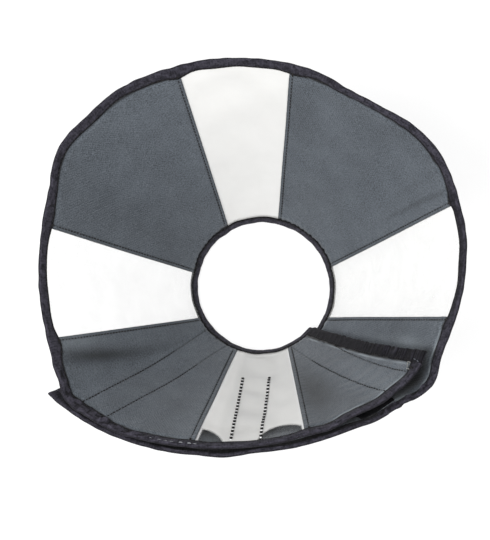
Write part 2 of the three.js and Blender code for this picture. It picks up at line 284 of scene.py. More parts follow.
# A point of the rolled wall, level metres outwards from its middle
def wallPoint(turn, share, level):
    turn, share = np.broadcast_arrays(np.asarray(turn, float), np.asarray(share, float))
    normal = wallNormal(turn, share)
    sideways = normal * np.array([1, 1, 0])
    apart = wall["layerStep"] * layerAt(turn) / (sideways ** 2).sum(-1)
    return (middlePoint(turn, share) + sideways * apart[..., None]
            + normal * (level + dentAt(turn, share))[..., None])


# How far a turn is inside a window, 0 on the panels and 1 on the film
def windowShare(turn):
    rises = []
    for start, end in windows.values():
        inside = np.minimum(turn - seamTurns[start][0], seamTurns[end][0] - turn)
        rises.append(smooth(inside, degreesAtRim(0.003), degreesAtRim(0.010)))
    return np.max(rises, axis=0)


# Mesh and scene helpers
# sRGB hex to linear
def linear(colour):
    channels = [int(colour[at:at + 2], 16) / 255 for at in (1, 3, 5)]
    return [c / 12.92 if c <= 0.04045 else ((c + 0.055) / 1.055) ** 2.4 for c in channels] + [1]


# Adds a node and gives one of its outputs. A setting goes to the socket of its name or number,
# as a link where it is another node's output, or else to the node itself.
def addNode(tree, kind, settings, output=0):
    node = tree.nodes.new(kind)
    for name, value in settings.items():
        if isinstance(value, bpy.types.NodeSocket):
            tree.links.new(value, node.inputs[name])
        elif isinstance(name, int) or name in node.inputs:
            node.inputs[name].default_value = value
        else:
            setattr(node, name, value)
    return node.outputs[output]


# A material and its shader, with the constants of its surface on the shader's own sockets
def newMaterial(name, surface):
    material = bpy.data.materials.new(name)
    material.use_nodes = True
    tree = material.node_tree
    tree.nodes.clear()
    shader = tree.nodes.new("ShaderNodeBsdfPrincipled")
    output = tree.nodes.new("ShaderNodeOutputMaterial")
    tree.links.new(shader.outputs["BSDF"], output.inputs["Surface"])
    for socket, value in surface.items():
        shader.inputs[socket].default_value = value
    return material, tree, shader


def addPiece(name, points, faces, material, attributes=None, sharpAngle=50):
    mesh = bpy.data.meshes.new(name)
    faces = np.asarray(faces)
    sides = faces.shape[1]
    mesh.vertices.add(len(points))
    mesh.vertices.foreach_set("co", np.asarray(points, np.float32).ravel())
    mesh.loops.add(faces.size)
    mesh.loops.foreach_set("vertex_index", faces.ravel().astype(np.int32))
    mesh.polygons.add(len(faces))
    mesh.polygons.foreach_set("loop_start", np.arange(0, faces.size, sides, dtype=np.int32))
    mesh.polygons.foreach_set("use_smooth", np.ones(len(faces), bool))
    mesh.update(calc_edges=True)
    mesh.validate()
    if sharpAngle:
        mesh.set_sharp_from_angle(angle=math.radians(sharpAngle))
    for key, values in (attributes or {}).items():
        values = np.asarray(values, np.float32)
        kind = "FLOAT_VECTOR" if values.ndim == 2 else "FLOAT"
        field = mesh.attributes.new(key, kind, "POINT")
        field.data.foreach_set("vector" if values.ndim == 2 else "value", values.ravel())
    mesh.materials.append(material)
    piece = bpy.data.objects.new(name, mesh)
    bpy.context.scene.collection.objects.link(piece)
    return piece


# One closed body from a block of cells. corners has one more point than cells each way, and
# faces are made only where a filled cell meets an empty one.
def cellBody(filled, corners, fields):
    columns, rows, layers = filled.shape
    padded = np.zeros((columns + 2, rows + 2, layers + 2), bool)
    padded[1:-1, 1:-1, 1:-1] = filled
    number = np.arange((columns + 1) * (rows + 1) * (layers + 1))
    number = number.reshape(columns + 1, rows + 1, layers + 1)
    square = ((0, 0), (0, 1), (1, 1), (1, 0))
    quads = []
    for axis in (2, 0, 1):
        for side, places in ((1, square), (0, square[:1] + square[:0:-1])):
            beyond = np.roll(padded, 1 - 2 * side, axis)
            cells = np.argwhere((padded & ~beyond)[1:-1, 1:-1, 1:-1])
            quad = []
            for across, up in places:
                corner = cells + np.roll((side, across, up), axis)
                quad.append(number[tuple(corner.T)])
            quads.append(np.stack(quad, axis=1))
    quads = np.concatenate(quads)
    used, faces = np.unique(quads.ravel(), return_inverse=True)
    attributes = {}
    for name, values in fields.items():
        flat = values.reshape(number.size, -1)[used]
        attributes[name] = flat if flat.shape[1] > 1 else flat[:, 0]
    return corners.reshape(-1, 3)[used], faces.reshape(-1, 4), attributes


# A closed body on the wall from arrays of corners, with its place in the cloth for the weave
def block(turns, shares, levels, filled=None, extra=None):
    turns, shares, levels = np.broadcast_arrays(turns, shares, levels)
    if filled is None:
        filled = np.ones(tuple(n - 1 for n in turns.shape), bool)
    steps = np.linalg.norm(np.diff(middlePoint(turns, shares), axis=0), axis=-1)
    across = np.concatenate([0 * steps[:1], np.cumsum(steps, axis=0)])
    across = across - across[len(across) // 2]
    laid = np.stack([across, shares * wall["length"], levels], axis=-1)
    fields = {"laid": laid}
    fields.update({key: np.broadcast_to(value, turns.shape) for key, value in (extra or {}).items()})
    return cellBody(filled, wallPoint(turns, shares, levels), fields)


def addBlock(name, material, turn, share, levels, filled=None, extra=None):
    points, faces, fields = block(turn[..., None], share[..., None], levels, filled, extra)
    return addPiece(name, points, faces, material, fields)


# Even steps between each pair of stops
def spread(*stops, step):
    made = [np.array([stops[0]], float)]
    for start, end in zip(stops, stops[1:]):
        count = max(1, round(abs(end - start) / step))
        made.append(np.linspace(start, end, count + 1)[1:])
    return np.concatenate(made)


def place(piece, slot, nodes=()):
    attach(piece, "root")
    if nodes:
        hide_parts(*nodes)
    return piece


# Camera: above the mouth, a little to the front and right of the axis
camera = {
    "position": (0.050, -0.175, 1.407),
    "aim": (-0.0056, -0.0113, 0.207),
    "lens": 101.03,
    "sensor": 36,
}


# Puts a camera or light at a place, looking at another, with +Y upwards in its view
def aimed(item, position, aim):
    back = (Vector(position) - Vector(aim)).normalized()
    right = Vector((0, 1, 0)).cross(back).normalized()
    turned = Matrix((right, back.cross(right), back)).transposed()
    item.location = position
    item.rotation_euler = turned.to_euler()
    bpy.context.scene.collection.objects.link(item)
    return item


def addCamera():
    lens = bpy.data.cameras.new("camera")
    lens.lens = camera["lens"]
    lens.sensor_width = camera["sensor"]
    lens.sensor_fit = "AUTO"
    lens.clip_start = 0.01
    eye = aimed(bpy.data.objects.new("camera", lens), camera["position"], camera["aim"])
    bpy.context.scene.camera = eye


addCamera()
print("camera set")


# Materials
# A sine along one direction of the cloth, -1 to 1
def wave(tree, place, direction, period):
    rate = 2 * math.pi / period
    dot = addNode(tree, "ShaderNodeVectorMath",
                  {"operation": "DOT_PRODUCT", 0: place, 1: [c * rate for c in direction]}, "Value")
    return addNode(tree, "ShaderNodeMath", {"operation": "SINE", 0: dot})


def wovenNylon():
    # Nylon oxford with a padded core: a matt slate cloth with a fine slanting grain. Painted
    # highlights lie beside the tapes and in soft patches, and painted shade along seams, grooves and
    # tape edges and where the cloth lies under another piece or turns from the light. The real
    # threads are 0.4 mm apart, too fine to show, so they are drawn at 1.9 mm.
    look = {
        "dark": "#393e44",
        "light": "#6b727a",
        # seam is the colour of painted shade, and edge the colour of painted highlights
        "seam": "#0f1012",
        "edge": "#98a0a5",
        "thread": 0.0019,
        "patchesPerMetre": 28,  # faded patches 36 mm wide
        "grainsPerMetre": 900,  # flecks 1.1 mm wide
    }
    material, tree, shader = newMaterial("woven nylon oxford", {
        "Roughness": 0.78, "IOR": 1.5, "Specular IOR Level": 0.3, "Sheen Weight": 0.15,
        "Sheen Roughness": 0.45})
    laid = addNode(tree, "ShaderNodeAttribute", {"attribute_name": "laid"}, "Vector")
    # painted shade and painted light, laid on the cloth as attributes
    shade, edge = (addNode(tree, "ShaderNodeAttribute", {"attribute_name": name}, "Fac")
                   for name in ("paintedShade", "paintedLight"))
    patches = addNode(tree, "ShaderNodeTexNoise", {
        "Vector": laid, "Scale": look["patchesPerMetre"], "Detail": 3.0, "Roughness": 0.55})
    grain = addNode(tree, "ShaderNodeTexNoise", {
        "Vector": laid, "Scale": look["grainsPerMetre"], "Detail": 2.0, "Roughness": 0.7})
    twill = wave(tree, laid, (0.77, 0.64, 0), look["thread"])
    cross = wave(tree, laid, (-0.64, 0.77, 0), look["thread"] * 1.3)
    weave = addNode(tree, "ShaderNodeMath",
                    {"operation": "MULTIPLY_ADD", 0: cross, 1: 0.45, 2: twill})
    woven = -1.0
    for pattern, strength in ((patches, 0.6), (grain, 2.4), (weave, 0.10)):
        woven = addNode(tree, "ShaderNodeMath",
                        {"operation": "MULTIPLY_ADD", 0: pattern, 1: strength, 2: woven})
    colour = linear(look["dark"])
    for cover, over in ((woven, "light"), (shade, "seam"), (edge, "edge")):
        colour = addNode(tree, "ShaderNodeMix", {
            "data_type": "RGBA", 0: cover, 6: colour, 7: linear(look[over])}, 2)
    tree.links.new(colour, shader.inputs["Base Color"])
    relief = addNode(tree, "ShaderNodeMath",
                     {"operation": "MULTIPLY_ADD", 0: weave, 1: 0.5, 2: grain})
    bump = addNode(tree, "ShaderNodeBump", {"Strength": 0.35, "Distance": 0.0003, "Height": relief})
    tree.links.new(bump, shader.inputs["Normal"])
    return material


def grosgrainTape():
    # Polyester grosgrain: close cross ribs and a dull purple black. The ribs are 0.7 mm apart on
    # the real tape and drawn at 2.2 mm so that they show.
    look = {
        "dark": "#1f1e24",
        "light": "#42404a",
        # edge is the colour of painted shade: outlines at the legs' edges, crease valleys and legs
        # in shadow
        "edge": "#0c0b0e",
        "rib": 0.0022,
        "creasesPerMetre": 240,  # creases 4 mm wide
        "fuzzPerMetre": 1100,  # fuzz 0.9 mm wide
    }
    material, tree, shader = newMaterial("polyester grosgrain tape", {
        "Roughness": 0.82, "IOR": 1.5, "Specular IOR Level": 0.12, "Sheen Weight": 0.03,
        "Sheen Roughness": 0.5})
    laid = addNode(tree, "ShaderNodeAttribute", {"attribute_name": "laid"}, "Vector")
    shade = addNode(tree, "ShaderNodeAttribute", {"attribute_name": "paintedShade"}, "Fac")
    ribs = wave(tree, laid, (1, 0, 0), look["rib"])
    creases = addNode(tree, "ShaderNodeTexNoise", {
        "Vector": laid, "Scale": look["creasesPerMetre"], "Detail": 3.0, "Roughness": 0.65,
        "Distortion": 0.5})
    fuzz = addNode(tree, "ShaderNodeTexNoise",
                   {"Vector": laid, "Scale": look["fuzzPerMetre"], "Detail": 1.0})
    # the creases noise is light and dark mottling, partly random tone of the tape and partly painted
    # light and shade of small creases
    tone = -1.45
    for pattern, strength in ((creases, 3.2), (fuzz, 0.6), (ribs, 0.08)):
        tone = addNode(tree, "ShaderNodeMath",
                       {"operation": "MULTIPLY_ADD", 0: pattern, 1: strength, 2: tone})
    colour = linear(look["dark"])
    # the tape's painted shade is mixed over its tone
    for cover, over in ((tone, "light"), (shade, "edge")):
        colour = addNode(tree, "ShaderNodeMix", {
            "data_type": "RGBA", 0: cover, 6: colour, 7: linear(look[over])}, 2)
    tree.links.new(colour, shader.inputs["Base Color"])
    relief = addNode(tree, "ShaderNodeMath",
                     {"operation": "MULTIPLY_ADD", 0: ribs, 1: 0.4, 2: fuzz})
    bump = addNode(tree, "ShaderNodeBump", {"Strength": 0.5, "Distance": 0.0003, "Height": relief})
    tree.links.new(bump, shader.inputs["Normal"])
    return material


def softFilm():
    # Calendered soft PVC: nearly clear and glossy, with a slight milky haze that is uneven
    look = {
        "film": "#fbfbfa",
        "milk": "#f0efec",
        "paintedHighlight": "#ffffff",
        "clear": 0.02,
        "milky": 0.92,
        "cloudsPerMetre": 30,  # clouds 33 mm wide
    }
    material, tree, shader = newMaterial("soft clear PVC film", {
        "Roughness": 0.16, "IOR": 1.53, "Specular IOR Level": 0.3})
    laid = addNode(tree, "ShaderNodeAttribute", {"attribute_name": "laid"}, "Vector")
    haze, bright = (addNode(tree, "ShaderNodeAttribute", {"attribute_name": name}, "Fac")
                    for name in ("haze", "paintedLight"))
    clouds = addNode(tree, "ShaderNodeTexNoise", {
        "Vector": laid, "Scale": look["cloudsPerMetre"], "Detail": 2.0, "Roughness": 0.5})
    cloudy = addNode(tree, "ShaderNodeMath",
                     {"operation": "MULTIPLY_ADD", 0: clouds, 1: 0.14, 2: -0.07})
    milk = addNode(tree, "ShaderNodeMath",
                   {"operation": "ADD", "use_clamp": True, 0: haze, 1: cloudy})
    colour = linear(look["film"])
    for cover, over in ((milk, "milk"), (bright, "paintedHighlight")):
        colour = addNode(tree, "ShaderNodeMix", {
            "data_type": "RGBA", 0: cover, 6: colour, 7: linear(look[over])}, 2)
    tree.links.new(colour, shader.inputs["Base Color"])
    cover = addNode(tree, "ShaderNodeMath", {
        "operation": "MULTIPLY_ADD", "use_clamp": True, 0: milk,
        1: look["milky"] - look["clear"], 2: look["clear"]})
    # the painted highlight also makes the film opaque where it lies
    cover = addNode(tree, "ShaderNodeMath", {"operation": "MAXIMUM", 0: cover, 1: bright})
    tree.links.new(cover, shader.inputs["Alpha"])
    return material


def hookAndLoop():
    # Nylon hook and loop tape: a black woven ground under a matt black pile, 1.4 mm from tuft
    # to tuft
    material, tree, shader = newMaterial("black nylon hook and loop", {
        "Roughness": 0.9, "IOR": 1.53, "Specular IOR Level": 0.2})
    place = addNode(tree, "ShaderNodeTexCoord", {}, "Object")
    pile = addNode(tree, "ShaderNodeTexNoise", {"Vector": place, "Scale": 700.0, "Detail": 2.0})
    colour = addNode(tree, "ShaderNodeMix", {
        "data_type": "RGBA", 0: pile, 6: linear("#0c0c0e"), 7: linear("#26262a")}, 2)
    tree.links.new(colour, shader.inputs["Base Color"])
    bump = addNode(tree, "ShaderNodeBump", {"Strength": 0.6, "Distance": 0.0004, "Height": pile})
    tree.links.new(bump, shader.inputs["Normal"])
    return material


def sewingThread(name, dark, light):
    # Bonded polyester thread: twisted plies 0.7 mm long, slightly glossy
    material, tree, shader = newMaterial(name, {
        "Roughness": 0.6, "IOR": 1.5, "Specular IOR Level": 0.3})
    place = addNode(tree, "ShaderNodeTexCoord", {}, "Object")
    plies = addNode(tree, "ShaderNodeTexNoise", {"Vector": place, "Scale": 1500.0, "Detail": 1.0})
    colour = addNode(tree, "ShaderNodeMix", {
        "data_type": "RGBA", 0: plies, 6: linear(dark), 7: linear(light)}, 2)
    tree.links.new(colour, shader.inputs["Base Color"])
    return material


nylon = wovenNylon()
tape = grosgrainTape()
film = softFilm()
blackStrip = hookAndLoop()
darkThread = sewingThread("dark polyester thread", "#0b0a0a", "#1e1a19")
paleThread = sewingThread("pale cotton thread", "#74777b", "#a6aaac")
glintThread = sewingThread("white thread of painted glints", "#e6e7e8", "#fbfbfb")
frayedThread = sewingThread("frayed polyester thread", "#77797a", "#a9a8a2")
greyThread = sewingThread("grey polyester thread", "#54575f", "#868b94")
print("materials made")

# Lines of stitches on the panels: each follows a turn that changes with the share
hem = {
    "depth": 0.008,  # how far a hem reaches from its window
    "stitch": 0.0027,  # from the window to the line of stitches
    "wideStitch": 0.0038,  # and beside the bottom window
    "tuck": 0.006,  # how far the film is tucked into the hem
}
stripLines = {  # turn at the rim and how far it has turned at the neck
    "loop_strip_1": {"rimTurn": 41, "skew": 10.6, "panel": "front_flap_panel"},
    "loop_strip_2": {"rimTurn": 92, "skew": 0, "panel": "bottom_window"},
    "loop_strip_3": {"rimTurn": 136.5, "skew": -5.6, "panel": "lower_left_panel"},
    "hook_strip": {"rimTurn": 410.1, "skew": 4, "panel": "outer_flap_panel"},
}
loopStrip = {"width": 0.026, "length": 0.150, "stitch": 0.0010}
hookStrip = {"width": 0.031, "length": 0.110, "stitch": 0.0014}
rimTape = {"width": 0.008, "endWidth": 0.009, "stitch": 0.0013, "flat": 0.026, "endFlat": 0.0245}
# the rim tape was sewn on unevenly: how long its legs are, and how far its fold stands out
tapeLegs = namedTable(("rimTurn", "length", "stands"), [
    (22, 0.0118, 0.0015),
    (34.4, 0.0120, 0.0015),
    (36.2, 0.0100, 0.0015),
    (38, 0.0085, 0.0015),
    (60, 0.0080, 0.0015),
    (110, 0.0080, 0.0015),
    (124, 0.0070, 0.0015),
    (128, 0.0080, 0.0015),
    (134, 0.0100, 0.0015),
    (140, 0.0105, 0.0015),
    (144, 0.0078, 0.0015),
    (148, 0.0080, 0.0016),
    (152, 0.0085, 0.0022),
    (156.5, 0.0110, 0.0032),
    (161, 0.0085, 0.0014),
    (183, 0.0078, 0.0016),
    (191.5, 0.0100, 0.0020),
    (197, 0.0072, 0.0018),
    (206, 0.0068, 0.0018),
    (216, 0.0075, 0.0018),
    (226, 0.0075, 0.0022),
    (236, 0.0078, 0.0017),
    (244, 0.0085, 0.0022),
    (247.5, 0.0110, 0.0016),
    (252, 0.0088, 0.0012),
    (258, 0.0095, 0.0010),
    (266, 0.0082, 0.0017),
    (280, 0.0078, 0.0019),
    (284, 0.0090, 0.0022),
    (289, 0.0068, 0.0022),
    (298, 0.0055, 0.0016),
    (308, 0.0040, 0.0019),
    (318, 0.0060, 0.0026),
    (325, 0.0070, 0.0014),
    (332, 0.0080, 0.0015),
    (338, 0.0060, 0.0021),
    (344.5, 0.0100, 0.0020),
    (348, 0.0070, 0.0014),
    (356, 0.0078, 0.0013),
    (376, 0.0080, 0.0013),
    (380, 0.0110, 0.0019),
    (383, 0.0090, 0.0019),
    (387, 0.0080, 0.0015),
    (392, 0.0070, 0.0022),
    (395, 0.0048, 0.0024),
    (402, 0.0048, 0.0030),
    (407, 0.0060, 0.0036),
    (414, 0.0080, 0.0020),
    (513, 0.0090, 0.0015),
])


def tapeLeg(turn):
    return valueAt(tapeLegs, "length", turn)


# Turns of the stitches beside a seam, inwards into the panel
def hemLine(seam, inwards, share):
    turn = seamTurns[seam][0] + 0 * share
    inset = hem["wideStitch" if "bottom" in seam else "stitch"]
    return turn + inwards * inset / degreeLength(turn, share)


# Turns of the stitches along one side of a strip
def stripLine(name, side, share):
    strip = stripLines[name]
    size = hookStrip if name == "hook_strip" else loopStrip
    middle = strip["rimTurn"] + strip["skew"] * (1 - share)
    return middle + side * (size["width"] / 2 - size["stitch"]) / degreeLength(middle, share)


# Functions that give the turn of each line of stitches of a panel at a share
def linesOn(panel):
    lines = []
    for seam, inwards in zip(panels[panel], (1, -1)):
        if seam not in freeEnds:
            lines.append(lambda share, seam=seam, inwards=inwards: hemLine(seam, inwards, share))
    for name, strip in stripLines.items():
        if strip["panel"] == panel:
            lines.append(lambda share, name=name: stripLine(name, -1, share))
            lines.append(lambda share, name=name: stripLine(name, 1, share))
    return lines


# Distance to the nearest of some seams of a panel, or a metre where there are none
def fromSeams(names, turn, share):
    away = [np.abs(turn - seamTurns[name][0]) * degreeLength(turn, share) for name in names]
    return np.min(away + [1 + 0 * turn], axis=0)


panelLook = {
    "step": 0.0012,  # spacing of the mesh round the rim
    "rowStep": 0.0017,  # and down the wall
    "pinched": 0.00095,  # half the thickness under the tapes
    "groove": 0.00045,
    "grooveWidth": 0.0008,
    "pucker": 0.00014,
    "puckerLength": 0.0075,
    "puckerReach": 0.006,
}


# soft shade where the cloth turns from the light or lies under another piece, and soft light
# where it is negative: turn at the rim, how far it has turned at the neck, share, width in
# turns, width in shares, strength
panelShade = [
    (153.5, -12.8, 0.75, 2.6, 0.30, 0.80),
    (156, 0, 0.86, 2.4, 0.14, -0.20),
    (136, -8, 0.70, 8, 0.30, 0.06),
    (119, 0, 0.85, 5, 0.22, 0.18),
    (110, 0, 0.80, 4, 0.25, -0.07),
    (64, 4, 0.64, 9, 0.30, 0.70),
    (56, 4, 0.93, 6, 0.10, 0.25),
    (45, 0, 0.84, 6, 0.30, -0.12),
    (287, 0, 0.80, 8, 0.35, 0.20),
    (304, 0, 0.95, 16, 0.10, 0.16),
    (321, 0, 0.93, 9, 0.10, 0.24),
    (320, 0, 0.75, 14, 0.30, 0.08),
    (341.8, -7, 0.80, 1.1, 0.30, 0.34),
    (336, -7, 0.80, 1.5, 0.25, 0.12),
    (397.5, 0, 0.912, 6.5, 0.050, 0.98),
    (391.6, 0, 0.905, 1.4, 0.030, 1.00),
    (389, 0, 0.910, 1.6, 0.025, 0.85),
    (387.2, 0, 0.76, 2.4, 0.11, -0.30),
    (387.6, 0, 0.58, 1.6, 0.10, -0.12),
    (411, 0, 0.955, 5, 0.03, 0.70),
    (400, 8, 0.60, 4.5, 0.30, 0.30),
    (382, 0, 0.62, 4.5, 0.18, 0.16),
]


# Half thickness of a panel, its painted shade along seams and tapes, and the soft painted shade and
# light on its front
def panelFaces(panel, turn, share):
    degree = degreeLength(turn, share)
    cut = valueAt(folds, "cut", turn) * wall["length"]
    fromRim = (1 - share) * cut
    fromNeck = share * cut
    fromEnds = fromSeams([name for name in panels[panel] if name in freeEnds], turn, share)
    fromTape = np.minimum(np.minimum(fromRim - tapeLeg(turn), fromNeck - rimTape["width"]),
                          fromEnds - rimTape["endWidth"])
    full = wall["panelThickness"] / 2
    half = panelLook["pinched"] + (full - panelLook["pinched"]) * smooth(fromTape, 0, 0.005)
    half = half + 0.0003 * hill(fromTape - 0.006, 0.004)
    # painted shade: a dark line on the cloth along the inner edge of each tape
    shade = 0.97 * hill(np.maximum(fromTape - 0.0005, 0), 0.0007)
    along = share * wall["length"]
    # painted highlight: a light line on the cloth just beyond the tape's edge, on the two flaps
    lit = (turn < 66) * 0.65 + 0.85 * smooth(turn, 378, 384) * (1 - smooth(turn, 414, 424))
    light = lit * hill(fromTape - 0.0024, 0.0009) * (0.6 + 0.4 * softNoise(
        31, turn * 0.0029, along, 0.03))
    # soft patches of painted shade and painted light on the front, from panelShade
    front = 0 * shade
    for rimTurn, skew, height, turns, shares, depth in panelShade:
        away = turn - rimTurn - skew * (1 - share)
        patch = depth * hill(away, turns) * hill(share - height, shares)
        front = np.maximum(front, patch)
        light = np.maximum(light, -patch)
    across = turn * wall["rimRadius"] * math.pi / 180
    for number, line in enumerate(linesOn(panel)):
        away = (turn - line(share)) * degree
        near = hill(away, panelLook["grooveWidth"])
        half = half - panelLook["groove"] * near
        # painted shade in the groove of each line of stitches
        shade = np.maximum(shade, 0.5 * near)
        phase = 2 * math.pi * along / panelLook["puckerLength"]
        phase = phase + 1.5 * softNoise(40 + number, along, away, 0.03)
        half = half + panelLook["pucker"] * np.sin(phase) * hill(away, panelLook["puckerReach"])
    tapePucker = softNoise(52, across, along, 0.011) * hill(fromTape - 0.002, 0.006)
    half = half + 0.00018 * tapePucker
    half = half + 0.00008 * softNoise(61, across, along, 0.018)
    return half, shade, front, np.clip(light, 0, 1)


def addPanel(panel):
    start, end = (seamTurns[name][0] for name in panels[panel])
    hems = [name for name in panels[panel] if name not in freeEnds]
    hemStart, hemEnd = (name in hems for name in panels[panel])
    hemTurn = degreesAtRim(hem["depth"])
    stops = [start] + [start + hemTurn] * hemStart + [end - hemTurn] * hemEnd + [end]
    turns = spread(*stops, step=degreesAtRim(panelLook["step"]))
    shares = spread(0, 1, step=panelLook["rowStep"] / wall["length"])
    turn, share = np.meshgrid(turns, shares, indexing="ij")
    half, shade, front, light = panelFaces(panel, turn, share)
    slot = wall["filmThickness"] / 2 * 0.8 + 0 * half
    # the hem's free edge closes down on the film and casts a dark line
    edge = fromSeams(hems, turn, share)
    half = half - 0.00035 * hill(edge, 0.0008)
    shade = np.maximum(shade, 0.6 * hill(edge, 0.0009))
    levels = np.stack([-half, -slot, slot, half], axis=-1)
    onFront = np.array([1.0, 1.0, 0.0, 0.0])
    shade = np.maximum(shade[..., None], front[..., None] * onFront)
    middle = (turns[1:] + turns[:-1]) / 2
    inHem = (hemStart & (middle < start + hemTurn)) | (hemEnd & (middle > end - hemTurn))
    filled = np.ones((len(turns) - 1, len(shares) - 1, 3), bool)
    filled[inHem, :, 1] = False
    piece = addBlock(panel + "_cloth", nylon, turn, share, levels, filled,
                     {"paintedShade": shade * (0.84 + 0.16 * shade),
                      "paintedLight": light[..., None] * onFront})
    place(piece, "nylon", [panel])


for name in panels:
    addPanel(name)
print("panels made")

# Windows
filmLook = {
    "thickness": 0.0006,
    "step": 0.0030,
    "fineStep": 0.0012,
    "wave": 0.0005,  # height of the film's own slow waves
    "waveLength": 0.05,
    # the bottom window's haze is partly the film's milkiness and partly painted glare on the film,
    # left clear at its rim corners
    "haze": {"top_window": 0.61, "left_window": 0.16, "right_window": 0.27, "bottom_window": 0.81},
    # the film is clear at the rim corners of the bottom window: the arch of each corner is
    # given by its middle turn, its half width in turns, its depth from the rim and its lean
    "corners": [
        {"turn": 80.5, "turns": 8.2, "depth": 0.034, "lean": 0.05},
        {"turn": 106, "turns": 7.6, "depth": 0.034, "lean": 0.1},
    ],
}


def filmHaze(window, turn, share):
    haze = filmLook["haze"][window] + 0 * turn
    if window != "bottom_window":
        return haze
    # the bottom window's haze, partly painted glare: milkier towards its left seam, and cleared at
    # its rim corners
    haze = haze + 0.17 * smooth(turn, 99.5, 103) + 0.03 * smooth(turn, 84, 80)
    fromRim = (1 - share) * wall["length"]
    for corner in filmLook["corners"]:
        across = (turn - corner["turn"]) / corner["turns"]
        arch = corner["depth"] * np.sqrt(np.clip(1 - across ** 2, 0, 1))
        arch = arch * (1 + corner["lean"] * across)
        haze = haze * smooth(fromRim - arch, -0.0010, 0.0010)
    return haze


# Distance inwards from the nearer of a window's two seams
def insideWindow(window, turn, share):
    start, end = (seamTurns[name][0] for name in windows[window])
    return np.minimum(turn - start, end - turn) * degreeLength(turn, share)


# The film's own slow waves, which flatten out at its edges
def filmSway(window, turn, share):
    inside = np.minimum(insideWindow(window, turn, share),
                        np.minimum(share, 1 - share) * wall["length"] - 0.008)
    across = turn * wall["rimRadius"] * math.pi / 180
    return filmLook["wave"] * smooth(inside, 0, 0.02) * softNoise(
        71, across, share * wall["length"], filmLook["waveLength"])


# Painted highlight: a bright white line along the film's edges beside the hems of the bottom window,
# where the film is also made opaque
def paintedFilmHighlight(window, turn, share):
    inside = insideWindow(window, turn, share)
    return 0.95 * hill(inside - 0.0006, 0.0010) * (window == "bottom_window")


def addWindow(window):
    start, end = (seamTurns[name][0] for name in windows[window])
    tuck = degreesAtRim(hem["tuck"])
    step = filmLook["fineStep"] if window == "bottom_window" else filmLook["step"]
    turns = spread(start - tuck, start, end, end + tuck, step=degreesAtRim(step))
    shares = spread(0.002, 0.998, step=step / wall["length"])
    turn, share = np.meshgrid(turns, shares, indexing="ij")
    levels = filmSway(window, turn, share)[..., None] + filmLook["thickness"] * np.array([-0.5, 0.5])
    piece = addBlock(window + "_film", film, turn, share, levels, None,
                     {"haze": filmHaze(window, turn, share)[..., None],
                      "paintedLight": paintedFilmHighlight(window, turn, share)[..., None]})
    place(piece, "film", [window])
    middle = (start + end) / 2
    width = (turns[-1] - turns[0]) * float(degreeLength(middle, 1.0))
    narrow = (turns[-1] - turns[0]) * float(degreeLength(middle, 0.0))


# Tapes folded round an edge: across runs from the front leg's edge over the fold to the back
tapeLook = {
    "step": 0.0014,
    "legSteps": 6,
    "foldSteps": 6,
    "thickness": 0.00065,
    "stands": 0.0015,  # how far the fold stands past the edge it covers
    "legWidth": 0.012,  # half of the tape laid flat, for its creases and shading
    # width of the line of painted shade at the edge of a leg
    "outline": 0.0008,  # dark line at the edge of a leg
    "drawnIn": -0.00012,  # how deep a crease may sink
    "crease": 0.00026,
    "creaseLength": 0.009,
    "edgeWave": 0.0005,
    "edgeWaveLength": 0.024,
    "foldWave": 0.00028,
    "foldWaveLength": 0.011,
}


# Lengths past the edge and levels of a folded tape's outer and inner face
def tapeSection(width, space, stands):
    legs = np.linspace(0, 1, tapeLook["legSteps"] + 1)
    bends = np.linspace(-np.pi / 2, np.pi / 2, tapeLook["foldSteps"] + 1)
    lengths = []
    levels = []
    for thickness in (tapeLook["thickness"], 0):
        depth = (space + thickness)[:, None]
        leg = -width[:, None] * (1 - legs)
        fold = (stands - tapeLook["thickness"] + thickness)[:, None] * np.cos(bends)
        lengths.append(np.concatenate([leg, fold[:, 1:-1], leg[:, ::-1]], axis=1))
        front = -depth * (0.80 + 0.20 * np.sin(legs * np.pi / 2))
        levels.append(np.concatenate([front, depth * np.sin(bends)[1:-1], -front[:, ::-1]], axis=1))
    return np.stack(lengths, -1), np.stack(levels, -1)


